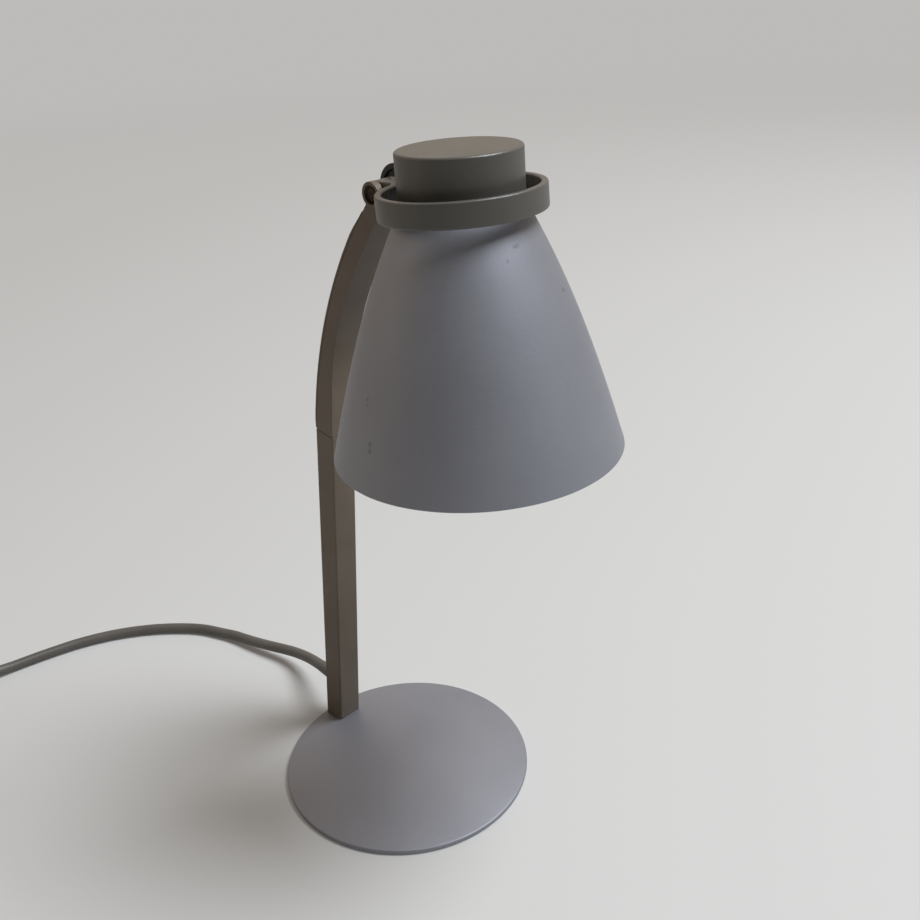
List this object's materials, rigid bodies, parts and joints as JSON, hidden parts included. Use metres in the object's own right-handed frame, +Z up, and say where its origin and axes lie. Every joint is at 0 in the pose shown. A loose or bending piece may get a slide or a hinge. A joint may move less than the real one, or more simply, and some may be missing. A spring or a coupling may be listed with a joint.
{
  "type": "desk lamp",
  "caption": "Small desk lamp: round weighted base, leaning arm with a curved upper half, tilting collar ring and a bell shade that swings on pegs, with an inline rocker switch and corded plug.",
  "frame": {"origin": "centre of the round base on the table", "axes": "+Z up, the lamp leans and faces towards -Y, +X to the right when looking along +Y"},
  "size_m": [0.4045, 0.4125, 0.3601],
  "materials": {
    "grey_paint": "satin silver-grey paint over pressed steel",
    "taupe_plastic": "matte taupe moulded plastic",
    "olive_plastic": "matte olive-grey moulded plastic",
    "dark_plastic": "matte near-black moulded plastic",
    "steel": "zinc-plated steel",
    "black_steel": "black-oxide steel",
    "cast_iron": "rough cast ballast",
    "foam": "dense non-slip foam rubber",
    "white_plastic": "heat-resistant white moulding",
    "lead_rubber": "flexible insulated lead",
    "cord_pvc": "flexible grey PVC sheath",
    "frosted_glass": "frosted, softly glossy"
  },
  "bodies": {
    "stand": {"base_cover": "grey_paint", "base_weight": "cast_iron", "base_pad": "foam", "arm_lower_bar": "taupe_plastic", "foot_plug": "taupe_plastic", "foot_washer": "steel", "foot_screw": "steel", "arm_upper_channel": "taupe_plastic", "arm_back_strip": "taupe_plastic", "arm_joint_screw": "steel", "arm_lead": "lead_rubber", "hinge_bolt": "black_steel", "hinge_washer": "steel", "cord_strain_relief": "cord_pvc", "cord_to_switch": "cord_pvc", "cord_to_coil": "cord_pvc", "cord_to_plug": "cord_pvc", "cord_coil": "cord_pvc", "cord_tie": "dark_plastic", "switch_bottom": "dark_plastic", "switch_top": "dark_plastic", "switch_screw_1": "steel", "switch_screw_2": "steel", "plug_body": "dark_plastic", "plug_pin_1": "steel", "plug_pin_2": "steel"},
    "ring": {"collar_ring": "olive_plastic", "head_lead": "lead_rubber"},
    "head": {"shade": "grey_paint", "lampholder_cap": "olive_plastic", "lampholder": "white_plastic", "shade_ring": "white_plastic", "bulb_base": "steel", "bulb_glass": "frosted_glass", "cap_screw_1": "steel", "cap_screw_2": "steel"},
    "knob": {"hinge_knob": "dark_plastic"},
    "rocker": {"switch_rocker": "dark_plastic"}
  },
  "joints": [
    {"name": "ring_tilt", "type": "hinge", "parent": "stand", "child": "ring", "pos_m": [0, -0.01729, 0.3353], "axis": [-1, 0, 0], "range_deg": [-10, 80]},
    {"name": "shade_swing", "type": "hinge", "parent": "ring", "child": "head", "pos_m": [0, -0.06668, 0.33863], "axis": [1, 0, 0], "range_deg": [-9, 5.5]},
    {"name": "knob_turn", "type": "hinge", "parent": "stand", "child": "knob", "pos_m": [0, -0.01729, 0.3353], "axis": [1, 0, 0], "range_deg": [-180, 45]},
    {"name": "rocker_tip", "type": "hinge", "parent": "stand", "child": "rocker", "pos_m": [-0.195, 0.265, 0.0146], "axis": [0, -1, 0], "range_deg": [0, 14]}
  ]
}
